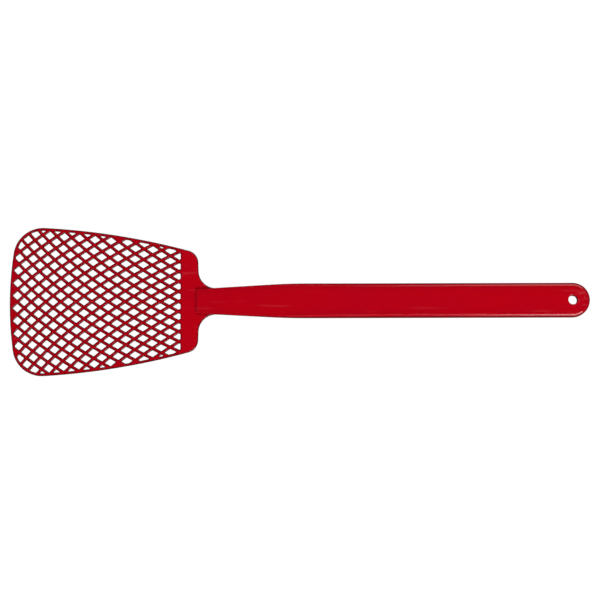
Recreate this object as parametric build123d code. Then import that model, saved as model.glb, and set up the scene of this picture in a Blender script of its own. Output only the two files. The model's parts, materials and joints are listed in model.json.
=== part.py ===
from build123d import *
import math
import os

# Fly swatter in two plastic mouldings held together by two drive rivets, in millimetres.
# It lies on its back: z = 0 is the back face and +Z the striking side. +X runs from the blade
# to the hang hole, and the swatter is symmetric about the plane y = 0. The origin is the middle
# of its length.

# ---- whole swatter ----
LENGTH = 406.4
TIP_X = -LENGTH / 2
END_X = LENGTH / 2
NEAR = 1.0  # how close a corner or an edge must lie to a place to be taken as the one there

# ---- blade outline ----
TIP_RADIUS = 247.0  # gently bowed far edge
SIDE_RADIUS = 492.8  # bowed long sides
SIDE_CREST_X = -206.6  # where the side arcs would be widest
SIDE_CREST_HALF_WIDTH = 53.0
FAR_CORNER_RADIUS = 20.8
HEEL_CORNER_RADIUS = 9.0
HEEL_X = -70.2  # rear edge of the heel band, on the axis
HEEL_RAKE = 1.7  # degrees that each half of the rear edge leans forward
NECK_FILLET_RADIUS = 12.4
BLADE_THICKNESS = 1.8

# ---- diamond mesh ----
MESH_END_X = -83.5  # the mesh stops here and the plain heel band begins
RIM_WIDTH = 2.0
STRAND_WIDTH = 2.3
OPENING_CORNER_RADIUS = 0.22
SHORTEST_ROUNDED_EDGE = 1.1
SMALLEST_OPENING_RADIUS = 0.42  # an opening that can't hold a circle of this radius is left solid
COLUMNS = 20  # column steps from the far edge to the heel
ROWS = 13  # rows of openings each side of the axis, at most
FIRST_COLUMN_X = TIP_X + 5.26
COLUMN_PITCH = (4.82, 6.485)  # at the far edge and at the heel
HALF_ROW_PITCH = (4.435, 3.53)
COLUMN_BOW_RADIUS = (394.0, 746.0)

# ---- handle ----
LAP_X = -72.4  # squared front end, on top of the heel band
SHOULDER_X = -57.0  # where the side walls begin, at the narrowest part of the swatter
FRONT_HALF_WIDTH = 8.5
GRIP_HALF_WIDTH = 12.0
END_CENTRE_X = END_X - GRIP_HALF_WIDTH  # centre of the round rear end and of the hang hole
TAPER_END_X = -7.6
TAPER_BLEND_RADIUS = 470.0
LAP_TOP_Z = 4.0
GRIP_HEIGHT = 7.0
RISE_START_X = -60.0
RISE_END_X = -5.0
RISE_BLEND_RADIUS = 300.0
LAP_CORNER_RADIUS = 0.8
TOP_EDGE_RADIUS = 1.6
WALL = 1.8
ROOF = 1.8

# ---- tongue, stiffening ribs and hang hole ----
TONGUE_END_X = -12.0
TONGUE_CLEARANCE = 0.15
TONGUE_CORNER_RADIUS = 3.0
TONGUE_RIB_X = (-50.0, -30.0)  # these press on the tongue
RIB_THICKNESS = 1.4
RIB_PITCH = 24.0
RIB_COUNT = 8
FIRST_RIB_X = -10.0
RIB_RECESS = 1.0  # ribs stop this far above the back face
HANG_HOLE_RADIUS = 3.25
HANG_HOLE_EDGE_RADIUS = 0.8
HANG_SLEEVE_RADIUS = 5.6

# ---- drive rivets ----
RIVET_X = {"front_rivet": -40.0, "rear_rivet": -20.0}
RIVET_HEAD_RADIUS = 3.2
RIVET_HEAD_THICKNESS = 0.9
RIVET_SHANK_RADIUS = 1.6
RIVET_LENGTH = 3.8
RIVET_TIP_CHAMFER = 0.3
RIVET_CLEARANCE = 0.1  # in the tongue
RIVET_FIT = 0.02  # in the boss
BOSS_RADIUS = 3.6
BORE_BOTTOM_Z = 4.0


def between(ends, fraction):
    """Value part of the way from the first to the second of two ends."""
    return ends[0] + (ends[1] - ends[0]) * fraction


# ---------------------------------------------------------------- blade

def fan(inset=0):
    """Plan of the mesh field and heel: bowed far edge, bowed sides, raked rear edge, rounded corners."""
    far_edge = Pos(TIP_X + TIP_RADIUS, 0) * Circle(TIP_RADIUS - inset)
    side_centre_y = SIDE_RADIUS - SIDE_CREST_HALF_WIDTH
    upper_side = Pos(SIDE_CREST_X, -side_centre_y) * Circle(SIDE_RADIUS - inset)
    lower_side = Pos(SIDE_CREST_X, side_centre_y) * Circle(SIDE_RADIUS - inset)
    reach = 2 * SIDE_CREST_HALF_WIDTH
    rear_x = HEEL_X - inset
    raked_x = rear_x - reach * math.tan(math.radians(HEEL_RAKE))
    rear_edge = make_face(Polyline(
        (rear_x, 0), (raked_x, reach), (TIP_X - reach, reach),
        (TIP_X - reach, -reach), (raked_x, -reach), close=True,
    ))
    plan = far_edge & upper_side & lower_side & rear_edge
    far_corners = plan.vertices().sort_by(Axis.X)[:2]
    plan = fillet(far_corners, FAR_CORNER_RADIUS - inset)
    heel_corners = plan.vertices().sort_by(Axis.X)[-3:].sort_by(lambda corner: -abs(corner.Y))[:2]
    return fillet(heel_corners, HEEL_CORNER_RADIUS - inset)


def lattice_point(column, row):
    """Where strand centrelines cross: columns open out towards the heel, rows towards the far edge."""
    fraction = column / COLUMNS
    growth = (COLUMN_PITCH[1] - COLUMN_PITCH[0]) / (2 * COLUMNS)
    y = row * between(HALF_ROW_PITCH, fraction)
    curvature = between([1 / radius for radius in COLUMN_BOW_RADIUS], fraction)
    x = FIRST_COLUMN_X + COLUMN_PITCH[0] * column + growth * column**2 + curvature * y**2 / 2
    return Vector(x, y)


def diamond(column, row):
    """One whole opening: its cell of the lattice, drawn in by half a strand on every side."""
    cell = [lattice_point(column + dx, row + dy) for dx, dy in ((-1, 0), (0, -1), (1, 0), (0, 1))]
    centre = (cell[0] + cell[2]) / 2
    half_length = (cell[2] - cell[0]).length / 2
    half_height = (cell[3] - cell[1]).length / 2
    to_strand = half_length * half_height / math.hypot(half_length, half_height)
    scale_in = 1 - STRAND_WIDTH / 2 / to_strand
    return make_face(Polyline(*[centre + (corner - centre) * scale_in for corner in cell], close=True))


def inscribed_radius(opening):
    return 2 * opening.area / opening.outer_wire().length


def ends_of(edges):
    return [vertex for edge in edges for vertex in edge.vertices()]


def rounded(opening):
    """The opening with soft corners along its strands. The short edges that the rim leaves stay sharp."""
    strand_ends = ends_of(opening.edges().filter_by(GeomType.LINE))
    short_ends = ends_of(edge for edge in opening.edges() if edge.length < SHORTEST_ROUNDED_EDGE)
    corners = [vertex for vertex in opening.vertices() if vertex in strand_ends and vertex not in short_ends]
    return opening.fillet_2d(OPENING_CORNER_RADIUS, corners)


def mesh_openings():
    """All openings of the mesh, trimmed by the rim and by the heel band."""
    far_x = TIP_X - RIM_WIDTH
    length = MESH_END_X - far_x
    before_heel = Pos(far_x + length / 2, 0) * Rectangle(length, 3 * SIDE_CREST_HALF_WIDTH)
    field = fan(RIM_WIDTH) & before_heel
    openings = []
    for column in range(COLUMNS + 1):
        for row in range(-ROWS, ROWS + 1):
            if (column + row) % 2 == 0:
                continue
            for opening in (field & diamond(column, row)).faces():
                if inscribed_radius(opening) > SMALLEST_OPENING_RADIUS:
                    openings.append(rounded(opening))
    return openings


def handle_half_width(x):
    """Half width of the tapered front part of the handle."""
    slope = (GRIP_HALF_WIDTH - FRONT_HALF_WIDTH) / (TAPER_END_X - LAP_X)
    return FRONT_HALF_WIDTH + slope * (x - LAP_X)


def tapered_strip(start_x, end_x, inset):
    """Plan of a strip that follows the handle's taper, drawn in by the inset on both sides."""
    start_y = handle_half_width(start_x) - inset
    end_y = handle_half_width(end_x) - inset
    return make_face(Polyline(
        (start_x, -start_y), (end_x, -end_y), (end_x, end_y), (start_x, start_y), close=True,
    ))


def tongue():
    """The strip that runs on under the handle, between its side walls, with rounded rear corners."""
    strip = tapered_strip(SHOULDER_X, TONGUE_END_X, WALL + TONGUE_CLEARANCE)
    return fillet(strip.vertices().group_by(Axis.X)[-1], TONGUE_CORNER_RADIUS)


def blade():
    """Mesh, rim, heel band, neck fillets and tongue, all one flat moulding."""
    neck = tapered_strip(SHOULDER_X - 2 * NECK_FILLET_RADIUS, SHOULDER_X, 0)
    plan = fan() + neck
    inner_corners = [
        vertex for vertex in plan.vertices()
        if HEEL_X - NEAR < vertex.X < SHOULDER_X - NEAR and abs(vertex.Y) < GRIP_HALF_WIDTH
    ]
    plan = fillet(inner_corners, NECK_FILLET_RADIUS) + tongue()
    outline = plan.face().outer_wire()
    sheet = Face(outline, [opening.outer_wire() for opening in mesh_openings()])
    moulding = extrude(sheet, BLADE_THICKNESS)
    for x in RIVET_X.values():
        moulding -= Pos(x, 0) * rivet_hole()
    return moulding


# ---------------------------------------------------------------- handle

def handle_plan():
    """Squared front end, straight taper, parallel grip and fully round rear end."""
    outline = Polyline(
        (LAP_X, FRONT_HALF_WIDTH), (TAPER_END_X, GRIP_HALF_WIDTH),
        (END_CENTRE_X, GRIP_HALF_WIDTH), (END_CENTRE_X, -GRIP_HALF_WIDTH),
        (TAPER_END_X, -GRIP_HALF_WIDTH), (LAP_X, -FRONT_HALF_WIDTH), close=True,
    )
    plan = make_face(outline) + Pos(END_CENTRE_X, 0) * Circle(GRIP_HALF_WIDTH)
    front = plan.vertices().group_by(Axis.X)[0]
    plan = fillet(front, LAP_CORNER_RADIUS)
    taper_ends = [vertex for vertex in plan.vertices() if abs(vertex.X - TAPER_END_X) < NEAR]
    return fillet(taper_ends, TAPER_BLEND_RADIUS)


def height_profile(drop):
    """Side view of the handle's top line, lowered by the drop: low over the blade, full at the grip."""
    top = FilletPolyline(
        (LAP_X, LAP_TOP_Z - drop), (RISE_START_X, LAP_TOP_Z - drop),
        (RISE_END_X, GRIP_HEIGHT - drop), (END_X, GRIP_HEIGHT - drop), radius=RISE_BLEND_RADIUS,
    )
    rest = Polyline((END_X, GRIP_HEIGHT - drop), (END_X, 0), (LAP_X, 0), (LAP_X, LAP_TOP_Z - drop))
    side_view = Plane.XZ * make_face(Curve() + [top, rest])
    return extrude(side_view, 2 * GRIP_HALF_WIDTH, both=True)


def slab(start_x, end_x, low_z, high_z):
    """Full-width block between two x positions and two heights, for cutting and trimming."""
    size = (end_x - start_x, 2 * GRIP_HALF_WIDTH, high_z - low_z)
    return Pos(start_x, 0, low_z) * Box(*size, align=(Align.MIN, Align.CENTER, Align.MIN))


def upright(x, radius, low_z, high_z):
    return Pos(x, 0, low_z) * Cylinder(radius, high_z - low_z, align=(Align.CENTER, Align.CENTER, Align.MIN))


def outer_shell():
    """The handle as a solid bar with its top edges rounded."""
    bar = extrude(handle_plan(), GRIP_HEIGHT) & height_profile(0)
    raised = [edge for edge in bar.edges() if edge.bounding_box().min.Z > LAP_TOP_Z - NEAR]
    rim = [
        edge for edge in raised
        if abs(edge.center().Y) > NEAR or not LAP_X + NEAR < edge.center().X < END_CENTRE_X + NEAR
    ]
    return fillet(rim, TOP_EDGE_RADIUS)


def cavity():
    """The hollow behind the roof and between the side walls, open at the back."""
    hollow = extrude(offset(handle_plan(), -WALL), GRIP_HEIGHT) & height_profile(ROOF)
    return hollow & slab(SHOULDER_X, END_X, 0, GRIP_HEIGHT)


def ribs(hollow):
    """Cross ribs and a spine under the roof; the ribs over the tongue press on it."""
    rib_x = [FIRST_RIB_X + RIB_PITCH * i for i in range(RIB_COUNT)]
    cross = [slab(x, x + RIB_THICKNESS, RIB_RECESS, GRIP_HEIGHT) for x in rib_x]
    over_tongue = [slab(x, x + RIB_THICKNESS, BLADE_THICKNESS, GRIP_HEIGHT) for x in TONGUE_RIB_X]
    spine_length = END_CENTRE_X - FIRST_RIB_X
    spine = Pos(FIRST_RIB_X, 0, RIB_RECESS) * Box(
        spine_length, RIB_THICKNESS, GRIP_HEIGHT, align=(Align.MIN, Align.CENTER, Align.MIN),
    )
    bosses = [upright(x, BOSS_RADIUS, BLADE_THICKNESS, GRIP_HEIGHT) for x in RIVET_X.values()]
    sleeve = upright(END_CENTRE_X, HANG_SLEEVE_RADIUS, 0, GRIP_HEIGHT)
    return hollow & (Part() + [*cross, *over_tongue, spine, *bosses, sleeve])


def handle():
    """Channel-shaped grip moulding; its squared front end lies on the blade's heel."""
    hollow = cavity()
    moulding = outer_shell() - hollow + ribs(hollow)
    moulding -= slab(LAP_X, SHOULDER_X, 0, BLADE_THICKNESS)
    moulding -= upright(END_CENTRE_X, HANG_HOLE_RADIUS, 0, GRIP_HEIGHT)
    for x in RIVET_X.values():
        moulding -= upright(x, RIVET_SHANK_RADIUS + RIVET_FIT, 0, BORE_BOTTOM_Z)
    mouth = [
        edge for edge in moulding.edges().filter_by(GeomType.CIRCLE)
        if edge.radius < HANG_HOLE_RADIUS + NEAR and edge.arc_center.X > END_CENTRE_X - NEAR
        and edge.arc_center.Z > GRIP_HEIGHT - NEAR
    ]
    return fillet(mouth, HANG_HOLE_EDGE_RADIUS)


# ---------------------------------------------------------------- drive rivets

def rivet_hole():
    """Stepped hole in the tongue: a recess for the head and a clear hole for the shank."""
    recess = upright(0, RIVET_HEAD_RADIUS + RIVET_CLEARANCE, 0, RIVET_HEAD_THICKNESS)
    return recess + upright(0, RIVET_SHANK_RADIUS + RIVET_CLEARANCE, 0, BLADE_THICKNESS)


def rivet(x):
    """Flush head in the back of the tongue, shank in the handle's blind boss."""
    head = upright(x, RIVET_HEAD_RADIUS, 0, RIVET_HEAD_THICKNESS)
    shank = upright(x, RIVET_SHANK_RADIUS, 0, RIVET_LENGTH)
    fastener = head + shank
    return chamfer(fastener.edges().group_by(Axis.Z)[-1], RIVET_TIP_CHAMFER)


def write_parts():
    os.makedirs("parts", exist_ok=True)
    pieces = {"blade": blade(), "handle": handle()}
    for name, x in RIVET_X.items():
        pieces[name] = rivet(x)
    for name, piece in pieces.items():
        export_step(piece, f"parts/{name}.step")


write_parts()
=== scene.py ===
import json
import math

import bmesh
import bpy
from mathutils import Matrix, Vector
from mathutils.bvhtree import BVHTree
from mathutils.geometry import delaunay_2d_cdt


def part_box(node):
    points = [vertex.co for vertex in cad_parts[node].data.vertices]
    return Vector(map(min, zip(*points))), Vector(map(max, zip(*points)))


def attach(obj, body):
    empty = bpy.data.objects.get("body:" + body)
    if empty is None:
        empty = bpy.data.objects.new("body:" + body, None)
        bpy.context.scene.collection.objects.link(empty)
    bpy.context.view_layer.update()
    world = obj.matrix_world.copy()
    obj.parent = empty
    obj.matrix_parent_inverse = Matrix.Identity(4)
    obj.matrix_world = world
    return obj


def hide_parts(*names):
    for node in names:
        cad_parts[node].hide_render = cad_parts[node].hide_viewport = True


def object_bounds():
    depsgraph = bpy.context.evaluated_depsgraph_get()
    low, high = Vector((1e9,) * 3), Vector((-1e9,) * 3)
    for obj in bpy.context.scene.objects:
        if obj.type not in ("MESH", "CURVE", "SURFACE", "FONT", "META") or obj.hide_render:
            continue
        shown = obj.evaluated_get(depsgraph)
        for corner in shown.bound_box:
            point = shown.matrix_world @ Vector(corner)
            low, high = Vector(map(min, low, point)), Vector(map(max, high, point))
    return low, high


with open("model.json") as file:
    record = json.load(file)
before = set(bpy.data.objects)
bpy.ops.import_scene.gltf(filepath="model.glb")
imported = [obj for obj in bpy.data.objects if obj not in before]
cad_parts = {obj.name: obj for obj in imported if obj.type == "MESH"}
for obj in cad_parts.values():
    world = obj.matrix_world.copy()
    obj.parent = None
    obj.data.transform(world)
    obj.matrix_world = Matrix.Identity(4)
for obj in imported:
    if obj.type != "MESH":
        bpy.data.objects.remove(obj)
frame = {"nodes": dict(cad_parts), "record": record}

CAD_LOW, CAD_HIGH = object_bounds()
BODY = "root"
RIVETS = ("front_rivet", "rear_rivet")
MM = 0.001
WELD = 0.002 * MM  # vertices closer than this are one vertex
TOUCH = 0.02 * MM  # two heights closer than this are the same height
SHARP_ANGLE = math.radians(38)
LEVEL = 0.999  # a face is level if the upright part of its normal is more than this
UPRIGHT = 0.01  # and upright if it is less than this
FLAT_BELOW = math.cos(math.radians(10))  # a face seen from below is flat up to this slope
SHADE = "shade"  # vertex values of painted shade, how much darker the plastic's red is painted: 1 along an edge, 0 in the open
SKIN = "skin"  # face values: 1 on the handle's outer skin

# ---- blade ----
OUTLINE_ROUND = 0.90 * MM  # along the blade's outer edge
STRAND_ROUND = 0.95 * MM  # along the openings
BLADE_BACK_ROUND = 0.25 * MM
TOP_ROUND_STEPS = 4
BACK_ROUND_STEPS = 2
CONTOUR_GAP = 0.15 * MM  # a contour drops the points that are this close to the one before
RIVET_REACH = 4 * MM  # a border line this close to a rivet's axis belongs to its hole

# ---- handle ----
WALL_JOIN_Z = 2.1 * MM  # below this the side walls keep their CAD faces
CONTOUR_STEP = 3.0 * MM
CREST_MARGIN = 3.0 * MM  # the top's height is read at least this far behind the front end
LEVEL_CREST_X = 0.0  # behind this the middle of the top is level
ABOVE_ALL_Z = 1.0  # rays that find the top start here
HEIGHT_DIGITS = 5  # heights in metres count as equal when rounded to this many digits
# The top edge is a tight round and then a broad, gently curved strip. Each pair of
# numbers is (front end, grip); between BLEND_START_X and BLEND_END_X one becomes the other.
ROUND_WIDTHS = (0.40 * MM, 0.95 * MM)
STRIP_WIDTHS = (0.24 * MM, 1.40 * MM)
STRIP_STEEP = math.radians(35)
STRIP_GENTLE = math.radians(14)
CROWN_SLOPES = (math.radians(0.5), math.radians(6))
CROWN_START = 7.4 * MM  # distance from the side where the crown begins to fall
CROWN_RING_WIDTHS = (0.02 * MM, 0.6 * MM)
CROWN_RINGS = 2  # even bands of faces between the strip and the fine crowned surface
CROWN_SHADE = 0.25  # painted shade where the crown meets the strip, fading to none on the flat middle
BLEND_START_X = -0.060
BLEND_END_X = 0.060
# Painted shade on the side wall and the tight round of the top edge.
EDGE_SHADES = (0.0, 1.0)
WALL_SHADE = 0.6  # painted shade on the side wall, as a share of the edge's
ROUND_STEPS = 5
STRIP_STEPS = 5
CAP_STEP_X = 3.0 * MM  # grid of the crowned surface
CAP_STEP_Y = 1.2 * MM
CAP_MARGIN = 0.7 * MM  # between the grid and the borders of the surface
TRIANGLES_INSIDE = 2  # the triangulation gives all triangles inside the outer border, the hang hole's too

# ---- rivets ----
RIVET_STEPS = 48
RIVET_HEAD_HEIGHT = 0.9 * MM
RIVET_EDGE_ROUND = 0.25 * MM
RIVET_EDGE_BULGE = 0.3  # the middle of the round lies this share of it in from both faces
RIVET_TIP = 0.3 * MM
GATE_RADIUS = 0.7 * MM
GATE_FLOOR_RADIUS = 0.49 * MM
GATE_DEPTH = 0.15 * MM

# ---- plastic ----
BLADE_RED = (0.346, 0.0004, 0.0040)
HANDLE_RED = (0.346, 0.0004, 0.0040)
RIVET_RED = (0.34, 0.0004, 0.0040)
PEEL_DEPTH = 0.005 * MM
FINE_PEEL_SHARE = 0.05
PLASTIC_IOR = 1.49
GLINT_CENTRE = (0.198, 0.001, 0.007)  # painted reflections: pale blotches between the hang hole and the end
GLINT_REACH = 6.5 * MM
STRAND_SHADE = 0.21  # painted shade added over the mesh
STRAND_SHADE_END_X = -0.0845
STRAND_SHADE_FADE = 3.0 * MM
# Factors of the pigment's red, green and blue.
COOL_TINT = (0.92, 0.8, 1.8)
PALE_TINT = (1.1, 60, 8)
PAINTED_SHADE_BLUE = 1.4  # in the painted shade along an edge blue falls less than red and green
CLOUD_SHARE = 0.5  # the rest of the pigment's unevenness is flow
# Kinds of noise: features to the metre, detail, and stretch along x, y and z.
CLOUDS = (38, 3, (1, 1, 1))
FLOW = (9, 3, (1, 16, 16))
STREAKS = (45, 2, (0.4, 7, 7))
GLINT_NOISE = (330, 2, (1, 1, 0))
POLISH = (70, 4, (1, 1, 1))
SCRATCHES = (500, 2, (0.08, 1, 1))
PEEL = (40, 1, (1, 1, 1))
FINE_PEEL = (900, 2, (1, 1, 1))
NOISE_ROUGHNESS = 0.55
NOISE_LOW, NOISE_HIGH = 0.3, 0.7  # most of the noise lies between these
# What a mark adds: least, most, and the noise values where it starts and is full.
STREAK_MARKS = (0, 0.45, 0.62, 0.76)
GLINT_MARKS = (0, 1.0, 0.52, 0.66)
SCRATCH_MARKS = (0, 0.02, 0.6, 0.75)
POLISH_LOW, POLISH_HIGH = -0.006, 0.01  # added to the roughness
STREAK_ROUGHNESS = 0.1  # added in a full streak

# ---- camera ----
FRAME_WIDTH = 0.4205  # width of the view at the object
CAMERA_DISTANCE = 1.6
CAMERA_ELEVATION = 84.0
CAMERA_ROLL = -0.15
AIM_OFFSET = Vector((0.33 * MM, 0.68 * MM, 2 * MM))  # from the origin to the middle of the view
SENSOR_WIDTH = 36.0
CLIP_END = 100

# ---- studio ----
BACKDROP_GREY = 0.03  # under its white glow
BACKDROP_REACH = 6.0
WALL_SHARE = 0.95  # the wall's radius as a share of the reach
WALL_SEGMENTS = 48
FLOOR_GAP = 0.2 * MM  # between the swatter's back and the floor
# Pairs of a height, from 0 at the horizon to 1 overhead, and the sky's grey there.
SKY_STOPS = ((0.0, 0.02), (0.02, 0.1), (0.12, 0.1), (0.3, 0.06), (0.8, 0.004))
KEY_SIZE = (0.8, 0.8)
# Keys light without showing in the gloss: name, place and power.
KEYS = (
    ("key_near", (0.3, -1.3, 1.8), 37),
    ("key_far", (0.0, 1.3, 1.8), 22),
    ("key_front", (-1.5, 0.0, 0.8), 7),
)
# Panels draw the long highlights: name, place, size and power.
PANELS = (
    ("strip_near", (0.62, -0.90, 0.88), (0.85, 0.32), 7.4),
    ("panel_near", (0.62, -1.10, 0.32), (0.85, 0.50), 2.4),
    ("strip_far", (0.55, 0.95, 0.74), (0.80, 0.85), 3.8),
)


# ---------------------------------------------------------------- mesh helpers

def welded_copy(node):
    """A bmesh of a CAD node's shape with its split vertices joined."""
    bm = bmesh.new()
    bm.from_mesh(frame["nodes"][node].data)
    bmesh.ops.remove_doubles(bm, verts=bm.verts, dist=WELD)
    bm.verts.layers.float.new(SHADE)
    bm.faces.layers.int.new(SKIN)
    return bm


def smooth_region(start):
    """All faces that can be reached from a face without crossing a sharp edge."""
    region, waiting = {start}, [start]
    while waiting:
        for edge in waiting.pop().edges:
            if len(edge.link_faces) == 2 and edge.calc_face_angle() < SHARP_ANGLE:
                found = [face for face in edge.link_faces if face not in region]
                region.update(found)
                waiting.extend(found)
    return region


def outlines(faces):
    """The closed border lines of a patch of faces, each as vertices with the patch on the left.

    The patch is a set, so where a line starts is not fixed: it can differ from run to run.
    """
    following = {}
    for face in faces:
        for corner in face.loops:
            if all(other is face or other not in faces for other in corner.edge.link_faces):
                following[corner.vert] = corner.link_loop_next.vert
    lines = []
    while following:
        line = [next(iter(following))]
        while line[-1] in following:
            line.append(following.pop(line[-1]))
        lines.append(line[:-1])
    return lines


def inset_directions(line):
    """For each point of a closed line, the step to its left that moves both its edges by one unit."""
    sharpest = 0.35  # keeps the step short where the line turns back on itself
    steps = []
    for i, point in enumerate(line):
        before = (point - line[i - 1]).to_2d().normalized()
        after = (line[(i + 1) % len(line)] - point).to_2d().normalized()
        left = Vector((-before.y - after.y, before.x + after.x))
        steps.append(left / max(1 + before.dot(after), sharpest))
    return steps


def raised_rings(bm, line, profile_at):
    """Faces along a closed line, up a profile of (inset, height, painted shade) steps.

    Gives back one column of vertices for each point of the line.
    """
    shade = bm.verts.layers.float[SHADE]
    columns = []
    for point, step in zip(line, inset_directions(line)):
        column = []
        for inset, height, depth in profile_at(point):
            vert = bm.verts.new((point.x + step.x * inset, point.y + step.y * inset, height))
            vert[shade] = depth
            column.append(vert)
        columns.append(column)
    for column, beside in zip(columns, columns[1:] + columns[:1]):
        for k in range(len(column) - 1):
            bm.faces.new((column[k], beside[k], beside[k + 1], column[k + 1]))
    return columns


def edges_along(bm, ring):
    """The edges between consecutive vertices of a closed ring."""
    pairs = zip(ring, ring[1:] + ring[:1])
    return [bm.edges.get(pair) or bm.edges.new(pair) for pair in pairs]


def borders_flat_underside(edge):
    """Whether the edge lies between a flat face seen from below and a round that leads away from it."""
    flat = [face.normal.z < -FLAT_BELOW for face in edge.link_faces]
    return len(flat) == 2 and flat[0] != flat[1]


def flat_normals(mesh):
    """Level faces are shaded as truly flat, and the rounds beside them start from their normal."""
    level = {}
    for face in mesh.polygons:
        if abs(face.normal.z) > LEVEL:
            for index in face.vertices:
                level.setdefault(index, set()).add(math.copysign(1, face.normal.z))
    normals = [corner.vector.copy() for corner in mesh.corner_normals]
    for face in mesh.polygons:
        for corner in face.loop_indices:
            for z in level.get(mesh.loops[corner].vertex_index, ()):
                if face.normal.z * z > math.cos(SHARP_ANGLE):
                    normals[corner] = Vector((0, 0, z))
    mesh.normals_split_custom_set(normals)


def finished_piece(name, bm, material, node, flats_exact=False):
    """Closes the bmesh into an object that stands for a CAD node.

    With flats_exact its level faces are shaded as truly flat. Otherwise large faces lead the shading.
    """
    bmesh.ops.remove_doubles(bm, verts=bm.verts, dist=WELD)
    bmesh.ops.dissolve_degenerate(bm, edges=bm.edges, dist=WELD)
    bmesh.ops.recalc_face_normals(bm, faces=bm.faces)
    for face in bm.faces:
        face.smooth = True
    for edge in bm.edges:
        edge.smooth = edge.calc_face_angle(math.pi) < SHARP_ANGLE and not borders_flat_underside(edge)
    mesh = bpy.data.meshes.new(name)
    bm.to_mesh(mesh)
    bm.free()
    mesh.materials.append(material)
    piece = bpy.data.objects.new(name, mesh)
    bpy.context.scene.collection.objects.link(piece)
    if flats_exact:
        flat_normals(mesh)
    else:
        normals = piece.modifiers.new("weighted_normals", "WEIGHTED_NORMAL")
        normals.keep_sharp = True
    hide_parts(node)
    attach(piece, BODY)
    return piece


# ---------------------------------------------------------------- blade

def quarter_round(radius, count):
    """Steps of a rounded edge as (inset, distance from the flat face), from the flat face to the wall."""
    angles = [math.pi / 2 * i / count for i in range(count + 1)]
    return [(radius * (1 - math.sin(a)), radius * (1 - math.cos(a))) for a in angles]


def blade_profile(low, high, top_round):
    """Steps from the back face, up the side wall and in over the top edge."""
    back = [(inset, low + depth) for inset, depth in quarter_round(BLADE_BACK_ROUND, BACK_ROUND_STEPS)]
    top = [(inset, high - depth) for inset, depth in quarter_round(top_round, TOP_ROUND_STEPS)]
    steps = back + top[::-1]
    # The third value is the painted shade: none where the rounds meet the back and top faces, full between.
    return [(inset, height, 0 < i < len(steps) - 1) for i, (inset, height) in enumerate(steps)]


def thinned(line):
    """The line without the points that lie within the contour gap of the kept point before them.

    Which points of a tight corner stay depends on where the line starts.
    """
    kept = [line[0]]
    for point in line[1:]:
        if (point - kept[-1]).length > CONTOUR_GAP:
            kept.append(point)
    return kept


def blade_moulding(material):
    """The blade with every strand, opening and outer edge rounded; the rivet holes stay as in CAD."""
    bm = welded_copy("blade")
    low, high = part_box("blade")
    top = {f for f in bm.faces if f.normal.z > LEVEL and abs(f.calc_center_median().z - high.z) < TOUCH}
    back = {f for f in bm.faces if f.normal.z < -LEVEL and abs(f.calc_center_median().z - low.z) < TOUCH}
    rivet_centres = [sum(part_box(node), Vector()) / 2 for node in RIVETS]

    def at_rivet(line):
        return any((line[0].co - centre).to_2d().length < RIVET_REACH for centre in rivet_centres)

    top_lines = outlines(top)
    back_lines = outlines(back)
    contours = [thinned([vert.co.copy() for vert in line]) for line in top_lines if not at_rivet(line)]
    top_ring_edges = [e for line in top_lines if at_rivet(line) for e in edges_along(bm, line)]
    back_ring_edges = [e for line in back_lines if at_rivet(line) for e in edges_along(bm, line)]
    walls = {
        f for f in bm.faces
        if abs(f.normal.z) < UPRIGHT
        and max(v.co.z for v in f.verts) > high.z - TOUCH
        and min(v.co.z for v in f.verts) < low.z + TOUCH
    }
    bmesh.ops.delete(bm, geom=list(top | back | walls), context="FACES_ONLY")

    outline = max(contours, key=len)
    for contour in contours:
        profile = blade_profile(low.z, high.z, OUTLINE_ROUND if contour is outline else STRAND_ROUND)
        columns = raised_rings(bm, contour, lambda point: profile)
        top_ring_edges += edges_along(bm, [column[-1] for column in columns])
        back_ring_edges += edges_along(bm, [column[0] for column in columns])
    bmesh.ops.triangle_fill(bm, edges=top_ring_edges, use_beauty=True, normal=(0, 0, 1))
    bmesh.ops.triangle_fill(bm, edges=back_ring_edges, use_beauty=True, normal=(0, 0, -1))
    loose = [e for e in bm.edges if not e.link_faces]
    bmesh.ops.delete(bm, geom=loose, context="EDGES")
    loose = [v for v in bm.verts if not v.link_faces]
    bmesh.ops.delete(bm, geom=loose, context="VERTS")
    return finished_piece("blade_moulding", bm, material, "blade", flats_exact=True)


# ---------------------------------------------------------------- handle

def along(pair, x):
    """Goes smoothly from a pair's first number at the front end to its second at the grip."""
    t = min(max((x - BLEND_START_X) / (BLEND_END_X - BLEND_START_X), 0.0), 1.0)
    return pair[0] + (pair[1] - pair[0]) * t * t * (3 - 2 * t)


def arc(width, steep, gentle, count):
    """Steps of a circular arc as (inset, rise), from a steep slope to a gentle one."""
    radius = width / (math.sin(steep) - math.sin(gentle))
    slopes = [steep + (gentle - steep) * i / count for i in range(count + 1)]
    return [
        (radius * (math.sin(steep) - math.sin(slope)), radius * (math.cos(slope) - math.cos(steep)))
        for slope in slopes
    ]


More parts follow.
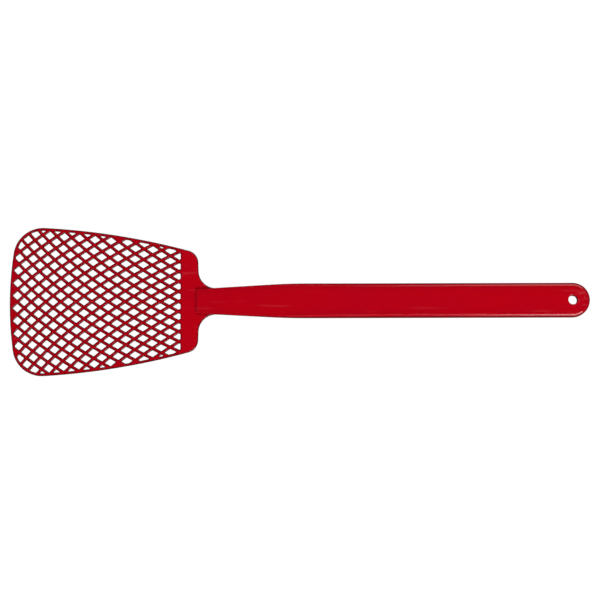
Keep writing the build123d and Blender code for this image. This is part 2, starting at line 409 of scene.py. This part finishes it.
class HandleTop:
    """Shape of the handle's crowned top, worked out from the CAD handle."""

    def __init__(self, contour, hole_centre, hole_ring_radius):
        low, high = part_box("handle")
        node = frame["nodes"]["handle"].data
        self.tree = BVHTree.FromPolygons(
            [v.co for v in node.vertices], [p.vertices for p in node.polygons]
        )
        self.front_x = low.x
        self.top_z = high.z
        self.end_radius = high.y
        self.end_centre = hole_centre
        self.hole_ring_radius = hole_ring_radius
        self.side = sorted((p.x, p.y) for p in contour if p.y > 0)

    def crest(self, x):
        """Height of the middle of the top."""
        if x > LEVEL_CREST_X:
            return self.top_z
        behind_edge = max(x, self.front_x + CREST_MARGIN)
        hit = self.tree.ray_cast(Vector((behind_edge, 0, ABOVE_ALL_Z)), Vector((0, 0, -1)))[0]
        return hit.z

    def half_width(self, x):
        """Distance from the axis to the side wall."""
        for (x0, y0), (x1, y1) in zip(self.side, self.side[1:]):
            if x0 <= x <= x1 and x1 > x0:
                return y0 + (y1 - y0) * (x - x0) / (x1 - x0)
        return self.side[0][1]

    def edge_width(self, x):
        return along(ROUND_WIDTHS, x) + along(STRIP_WIDTHS, x)

    def ringed_width(self, x):
        return self.edge_width(x) + CROWN_RINGS * along(CROWN_RING_WIDTHS, x)

    def drop(self, x):
        """How far the crown falls from the middle to the rounded edge."""
        return (CROWN_START - self.edge_width(x)) * math.tan(along(CROWN_SLOPES, x)) / 2

    def fall(self, x, inset):
        """0 on the flat middle, 1 where the rounded edge begins."""
        share = (CROWN_START - inset) / (CROWN_START - self.edge_width(x))
        return min(max(share, 0.0), 1.0) ** 2

    def place(self, x, y):
        """The top surface's point over a place inside its rounded edge, and its painted shade."""
        if x > self.end_centre.x:
            inset = self.end_radius - math.hypot(x - self.end_centre.x, y)
        else:
            inset = self.half_width(x) - abs(y)
        fall = self.fall(x, inset)
        return Vector((x, y, self.crest(x) - self.drop(x) * fall)), CROWN_SHADE * fall

    def profile(self, point):
        """Steps from the side wall, over the round and the strip, to where the crown begins."""
        tight = arc(along(ROUND_WIDTHS, point.x), math.pi / 2, STRIP_STEEP, ROUND_STEPS)
        strip = arc(along(STRIP_WIDTHS, point.x), STRIP_STEEP, STRIP_GENTLE, STRIP_STEPS)
        strip_inset, strip_rise = tight[-1]
        edge = self.edge_width(point.x)
        crest = self.crest(point.x)
        drop = self.drop(point.x)
        foot = crest - drop - strip_rise - strip[-1][1]
        # Painted shade: darker on the wall and the tight round, none on the strip, fading over the crown
        # rings.
        shade = along(EDGE_SHADES, point.x)
        steps = [(0, WALL_JOIN_Z, shade * WALL_SHADE), (0, foot, shade * WALL_SHADE)]
        steps += [(inset, foot + rise, shade) for inset, rise in tight[1:-1]]
        steps += [(strip_inset + inset, foot + strip_rise + rise, 0) for inset, rise in strip[:-1]]
        for ring in range(CROWN_RINGS + 1):
            inset = edge + ring * along(CROWN_RING_WIDTHS, point.x)
            fall = self.fall(point.x, inset)
            steps.append((inset, crest - drop * fall, CROWN_SHADE * fall))
        return steps


def grid_points(low, high, keep):
    """Points in rows between two corners, every other row shifted by half a step."""
    points = []
    rows = int((high.y - low.y) / CAP_STEP_Y) + 1
    columns = int((high.x - low.x) / CAP_STEP_X) + 1
    for row in range(rows):
        for column in range(columns):
            point = Vector((
                low.x + CAP_STEP_X * (column + 0.5 * (row % 2)),
                low.y + CAP_STEP_Y * row,
            ))
            if keep(point):
                points.append(point)
    return points


def crowned_cap(bm, top, rim, hole_ring):
    """Fills the top between its rounded edge and the hang hole with a fine crowned surface."""
    low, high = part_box("handle")

    def inside(point):
        if (point - top.end_centre.to_2d()).length < top.hole_ring_radius + CAP_MARGIN:
            return False
        if point.x > top.end_centre.x:
            inset = top.end_radius - (point - top.end_centre.to_2d()).length
        else:
            inset = min(top.half_width(point.x) - abs(point.y), point.x - low.x)
        return inset > top.ringed_width(point.x) + CAP_MARGIN

    known = rim + hole_ring
    points = [vert.co.to_2d() for vert in known] + grid_points(low, high, inside)
    first = len(rim)
    borders = [(i, (i + 1) % first) for i in range(first)]
    count = len(hole_ring)
    borders += [(first + i, first + (i + 1) % count) for i in range(count)]
    placed, _, faces, sources, _, _ = delaunay_2d_cdt(points, borders, [], TRIANGLES_INSIDE, WELD)
    shade = bm.verts.layers.float[SHADE]
    verts = []
    for point, source in zip(placed, sources):
        border = [i for i in source if i < len(known)]
        if border:
            verts.append(known[border[0]])
        else:
            place, depth = top.place(point.x, point.y)
            verts.append(bm.verts.new(place))
            verts[-1][shade] = depth
    for face in faces:
        corners = [verts[i] for i in face]
        middle = sum((vert.co for vert in corners), Vector()) / len(corners)
        if (middle - top.end_centre).to_2d().length > top.hole_ring_radius:
            bm.faces.new(corners)


def split_long(bm, line):
    """Divides a line's long edges, so that a curved surface can grow from it."""
    for edge in edges_along(bm, line):
        cuts = int(edge.calc_length() / CONTOUR_STEP)
        if cuts:
            bmesh.ops.subdivide_edges(bm, edges=[edge], cuts=cuts)


def handle_moulding(material):
    """The handle with a crowned top and soft edges on the walls, ribs and bosses of the CAD channel."""
    bm = welded_copy("handle")
    hole = next(m for m in frame["record"]["mounts"] if m["name"] == "hang_hole")
    hole_centre = Vector(hole["pos_m"])
    top_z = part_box("handle")[1].z
    bm.faces.ensure_lookup_table()
    crest = max(
        bm.faces, key=lambda f: (round(f.calc_center_median().z, HEIGHT_DIGITS), f.calc_area())
    )
    skin = smooth_region(crest)
    flat = {f for f in skin if f.normal.z > LEVEL}
    hole_ring_radius = min(
        (v.co - hole_centre).to_2d().length for f in flat for v in f.verts if v.co.z > top_z - TOUCH
    )
    skin = {
        f for f in skin
        if max((v.co - hole_centre).to_2d().length for v in f.verts) > hole_ring_radius + TOUCH
    }
    marked = bm.faces.layers.int[SKIN]
    for face in skin:
        face[marked] = 1
    edges = {e for f in skin for e in f.edges}
    verts = {v for f in skin for v in f.verts}
    bmesh.ops.bisect_plane(
        bm, geom=[*skin, *edges, *verts], dist=WELD, plane_co=(0, 0, WALL_JOIN_Z), plane_no=(0, 0, 1),
    )

    def upper_skin():
        """The skin's faces above the join, their outer border and their border round the hang hole."""
        faces = {f for f in bm.faces if f[marked] and f.calc_center_median().z > WALL_JOIN_Z}
        lines = outlines(faces)
        around_hole = min(lines, key=lambda line: max((v.co - hole_centre).to_2d().length for v in line))
        return faces, max(lines, key=len), around_hole

    split_long(bm, upper_skin()[1])
    above, outer, hole_line = upper_skin()
    contour = [vert.co.copy() for vert in outer]
    bmesh.ops.delete(bm, geom=list(above), context="FACES")

    top = HandleTop(contour, hole_centre, hole_ring_radius)
    columns = raised_rings(bm, contour, top.profile)
    crowned_cap(bm, top, [column[-1] for column in columns], hole_line)
    loose = [e for e in bm.edges if not e.link_faces]
    bmesh.ops.delete(bm, geom=loose, context="EDGES")
    return finished_piece("handle_moulding", bm, material, "handle")


# ---------------------------------------------------------------- rivets

def rivet(node, material):
    """A drive rivet with a softened head, a small gate mark in its middle and a pointed tip."""
    low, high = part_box(node)
    centre = (low + high) / 2
    head_radius = (high.x - low.x) / 2
    shank_radius = head_radius / 2
    edge = RIVET_EDGE_ROUND
    bulge = edge * RIVET_EDGE_BULGE
    profile = [
        (0, GATE_DEPTH), (GATE_FLOOR_RADIUS, GATE_DEPTH), (GATE_RADIUS, 0),
        (head_radius - edge, 0), (head_radius - bulge, bulge), (head_radius, edge),
        (head_radius, RIVET_HEAD_HEIGHT), (shank_radius, RIVET_HEAD_HEIGHT),
        (shank_radius, high.z - RIVET_TIP), (shank_radius - RIVET_TIP, high.z), (0, high.z),
    ]
    bm = bmesh.new()
    bm.verts.layers.float.new(SHADE)
    verts = [bm.verts.new((centre.x + r, centre.y, z)) for r, z in profile]
    edges = [bm.edges.new(pair) for pair in zip(verts, verts[1:])]
    bmesh.ops.spin(
        bm, geom=verts + edges, cent=(centre.x, centre.y, 0), axis=(0, 0, 1),
        angle=2 * math.pi, steps=RIVET_STEPS, use_merge=True,
    )
    return finished_piece(node + "_moulding", bm, material, node)


# ---------------------------------------------------------------- materials

class Shader:
    """A material's node tree with short calls to add and link nodes."""

    def __init__(self, name):
        self.material = bpy.data.materials.new(name)
        self.material.use_nodes = True
        self.tree = self.material.node_tree
        self.surface = self.tree.nodes["Principled BSDF"]

    def add(self, kind, inputs=None, **settings):
        node = self.tree.nodes.new(kind)
        for key, value in settings.items():
            setattr(node, key, value)
        for key, value in (inputs or {}).items():
            if isinstance(value, bpy.types.NodeSocket):
                self.tree.links.new(value, node.inputs[key])
            else:
                node.inputs[key].default_value = value
        return node

    def noise(self, place, scale, detail, stretch):
        """Smooth noise from 0 to 1, with that many features to the metre."""
        placed = self.add("ShaderNodeMapping", {"Vector": place, "Scale": stretch})
        node = self.add("ShaderNodeTexNoise", {
            "Vector": placed.outputs["Vector"], "Scale": scale, "Detail": detail,
            "Roughness": NOISE_ROUGHNESS,
        })
        return node.outputs["Fac"]

    def spread(self, value, low, high, from_low=NOISE_LOW, from_high=NOISE_HIGH):
        """Maps a range of a value, by default that of most noise, onto low to high."""
        node = self.add("ShaderNodeMapRange", {
            "Value": value, "From Min": from_low, "From Max": from_high, "To Min": low, "To Max": high,
        })
        return node.outputs["Result"]

    def sum(self, a, b):
        return self.add("ShaderNodeMath", {0: a, 1: b}, operation="ADD").outputs[0]

    def times(self, a, b):
        return self.add("ShaderNodeMath", {0: a, 1: b}, operation="MULTIPLY").outputs[0]

    def mix(self, share, a, b):
        node = self.add("ShaderNodeMix", {0: share, 6: a, 7: b}, data_type="RGBA")
        return node.outputs[2]

    def set(self, socket, value):
        if isinstance(value, bpy.types.NodeSocket):
            self.tree.links.new(value, self.surface.inputs[socket])
        else:
            self.surface.inputs[socket].default_value = value


def tinted(colour, factors):
    """An opaque colour with its red, green and blue multiplied by three factors."""
    return (*(part * factor for part, factor in zip(colour, factors)), 1)


def moulded_plastic(name, colour, roughness, edge_shade_factor, painted_shade_before=None, glints_at=None):
    """Glossy red polyolefin: pigment clouds, flow streaks, orange peel, fine scratches, painted edge shade.

    Along an edge the painted shade leaves edge_shade_factor of the red. Painted shade also darkens it a
    little before the x position painted_shade_before, and pale blotches are painted round the place
    glints_at as reflections.
    """
    s = Shader(name)
    place = s.add("ShaderNodeTexCoord").outputs["Object"]
    warm = (*colour, 1)
    cool = tinted(colour, COOL_TINT)
    shaded_red = tinted(colour, (edge_shade_factor, edge_shade_factor, edge_shade_factor * PAINTED_SHADE_BLUE))
    pale = tinted(colour, PALE_TINT)

    clouds = s.spread(s.noise(place, *CLOUDS), 0, 1)
    flow = s.spread(s.noise(place, *FLOW), 0, 1)
    unevenness = s.sum(s.times(clouds, CLOUD_SHARE), s.times(flow, 1 - CLOUD_SHARE))
    pigment = s.mix(unevenness, warm, cool)
    streaks = s.spread(s.noise(place, *STREAKS), *STREAK_MARKS)
    pigment = s.mix(streaks, pigment, pale)
    # Painted reflections: pale blotches round the given place.
    if glints_at:
        away = s.add("ShaderNodeVectorMath", {0: place, 1: glints_at}, operation="DISTANCE").outputs["Value"]
        near = s.spread(away, 1, 0, GLINT_REACH / 2, GLINT_REACH)
        glints = s.times(near, s.spread(s.noise(place, *GLINT_NOISE), *GLINT_MARKS))
        pigment = s.mix(glints, pigment, pale)
    # Painted shade: the vertex values darken the red along the edges.
    shade = s.add("ShaderNodeAttribute", attribute_name=SHADE).outputs["Fac"]
    # Painted shade over the blade's mesh: full before the given x, fading to none just after it.
    if painted_shade_before:
        x = s.add("ShaderNodeSeparateXYZ", {0: place}).outputs["X"]
        shade = s.sum(shade, s.spread(x, STRAND_SHADE, 0, painted_shade_before, painted_shade_before + STRAND_SHADE_FADE))
    s.set("Base Color", s.mix(shade, pigment, shaded_red))

    polish = s.spread(s.noise(place, *POLISH), roughness + POLISH_LOW, roughness + POLISH_HIGH)
    scratches = s.spread(s.noise(place, *SCRATCHES), *SCRATCH_MARKS)
    s.set("Roughness", s.sum(s.sum(polish, scratches), s.times(streaks, STREAK_ROUGHNESS)))

    peel = s.noise(place, *PEEL)
    peel = s.sum(peel, s.times(s.noise(place, *FINE_PEEL), FINE_PEEL_SHARE))
    bump = s.add("ShaderNodeBump", {"Height": peel, "Strength": 1.0, "Distance": PEEL_DEPTH})
    s.set("Normal", bump.outputs["Normal"])
    s.set("IOR", PLASTIC_IOR)
    return s.material


# ---------------------------------------------------------------- studio

def backdrop():
    """A white floor and a white wall round it, which neither light the swatter nor show in its gloss."""
    s = Shader("backdrop_white")
    s.set("Base Color", (BACKDROP_GREY, BACKDROP_GREY, BACKDROP_GREY, 1))
    s.set("Roughness", 0.9)
    s.set("Specular IOR Level", 0.0)
    s.set("Emission Color", (1, 1, 1, 1))
    s.set("Emission Strength", 1.0)
    ground = bmesh.new()
    bmesh.ops.create_grid(ground, x_segments=1, y_segments=1, size=BACKDROP_REACH)
    around = bmesh.new()
    wall_radius = BACKDROP_REACH * WALL_SHARE
    bmesh.ops.create_cone(
        around, cap_ends=False, segments=WALL_SEGMENTS,
        radius1=wall_radius, radius2=wall_radius, depth=BACKDROP_REACH,
    )
    for name, bm, height in (("floor", ground, 0), ("wall", around, BACKDROP_REACH / 2)):
        mesh = bpy.data.meshes.new(name)
        bm.to_mesh(mesh)
        bm.free()
        mesh.materials.append(s.material)
        screen = bpy.data.objects.new(name, mesh)
        screen.location.z = CAD_LOW.z - FLOOR_GAP + height
        screen.visible_glossy = False
        screen.visible_diffuse = False
        screen.visible_shadow = name == "floor"
        bpy.context.scene.collection.objects.link(screen)


def softbox(name, location, size, power):
    """A rectangular light that points at the middle of the object."""
    light = bpy.data.lights.new(name, "AREA")
    light.shape = "RECTANGLE"
    light.size, light.size_y = size
    light.energy = power
    lamp = bpy.data.objects.new(name, light)
    lamp.location = location
    lamp.rotation_euler = (-Vector(location)).to_track_quat("-Z", "Y").to_euler()
    lamp.visible_camera = False
    bpy.context.scene.collection.objects.link(lamp)
    return lamp


def sky():
    """Dark overhead, where the flat faces mirror it, and a little paler towards the horizon."""
    world = bpy.data.worlds.new("studio")
    world.use_nodes = True
    bpy.context.scene.world = world
    tree = world.node_tree
    place = tree.nodes.new("ShaderNodeTexCoord")
    split = tree.nodes.new("ShaderNodeSeparateXYZ")
    ramp = tree.nodes.new("ShaderNodeValToRGB")
    tree.links.new(place.outputs["Generated"], split.inputs[0])
    tree.links.new(split.outputs["Z"], ramp.inputs[0])
    tree.links.new(ramp.outputs["Color"], tree.nodes["Background"].inputs["Color"])
    for element, (position, grey) in zip(ramp.color_ramp.elements, SKY_STOPS):
        element.position = position
        element.color = (grey, grey, grey, 1)
    for position, grey in SKY_STOPS[2:]:
        ramp.color_ramp.elements.new(position).color = (grey, grey, grey, 1)


def studio():
    """The backdrop, the sky, the keys and the panels."""
    backdrop()
    sky()
    for name, location, power in KEYS:
        key = softbox(name, location, KEY_SIZE, power)
        key.visible_glossy = False
    for name, location, size, power in PANELS:
        softbox(name, location, size, power)


def set_camera():
    """Looks at the swatter's top from almost straight above."""
    data = bpy.data.cameras.new("camera")
    data.sensor_width = SENSOR_WIDTH
    data.lens = SENSOR_WIDTH * CAMERA_DISTANCE / FRAME_WIDTH
    data.clip_end = CLIP_END
    camera = bpy.data.objects.new("camera", data)
    elevation = math.radians(CAMERA_ELEVATION)
    back = Vector((0, -math.cos(elevation), math.sin(elevation)))
    turn = (-back).to_track_quat("-Z", "Y").to_matrix().to_4x4()
    roll = Matrix.Rotation(math.radians(CAMERA_ROLL), 4, "Z")
    camera.matrix_world = Matrix.Translation(AIM_OFFSET + back * CAMERA_DISTANCE) @ turn @ roll
    bpy.context.scene.collection.objects.link(camera)
    bpy.context.scene.camera = camera


blade_moulding(moulded_plastic(
    "blade_red", BLADE_RED, roughness=0.15, edge_shade_factor=0.34, painted_shade_before=STRAND_SHADE_END_X,
))
handle_moulding(moulded_plastic(
    "handle_red", HANDLE_RED, roughness=0.14, edge_shade_factor=0.56, glints_at=GLINT_CENTRE,
))
rivet_material = moulded_plastic("rivet_red", RIVET_RED, roughness=0.2, edge_shade_factor=0.75)
for node in RIVETS:
    rivet(node, rivet_material)
studio()
set_camera()
bpy.context.scene.view_settings.view_transform = "Standard"
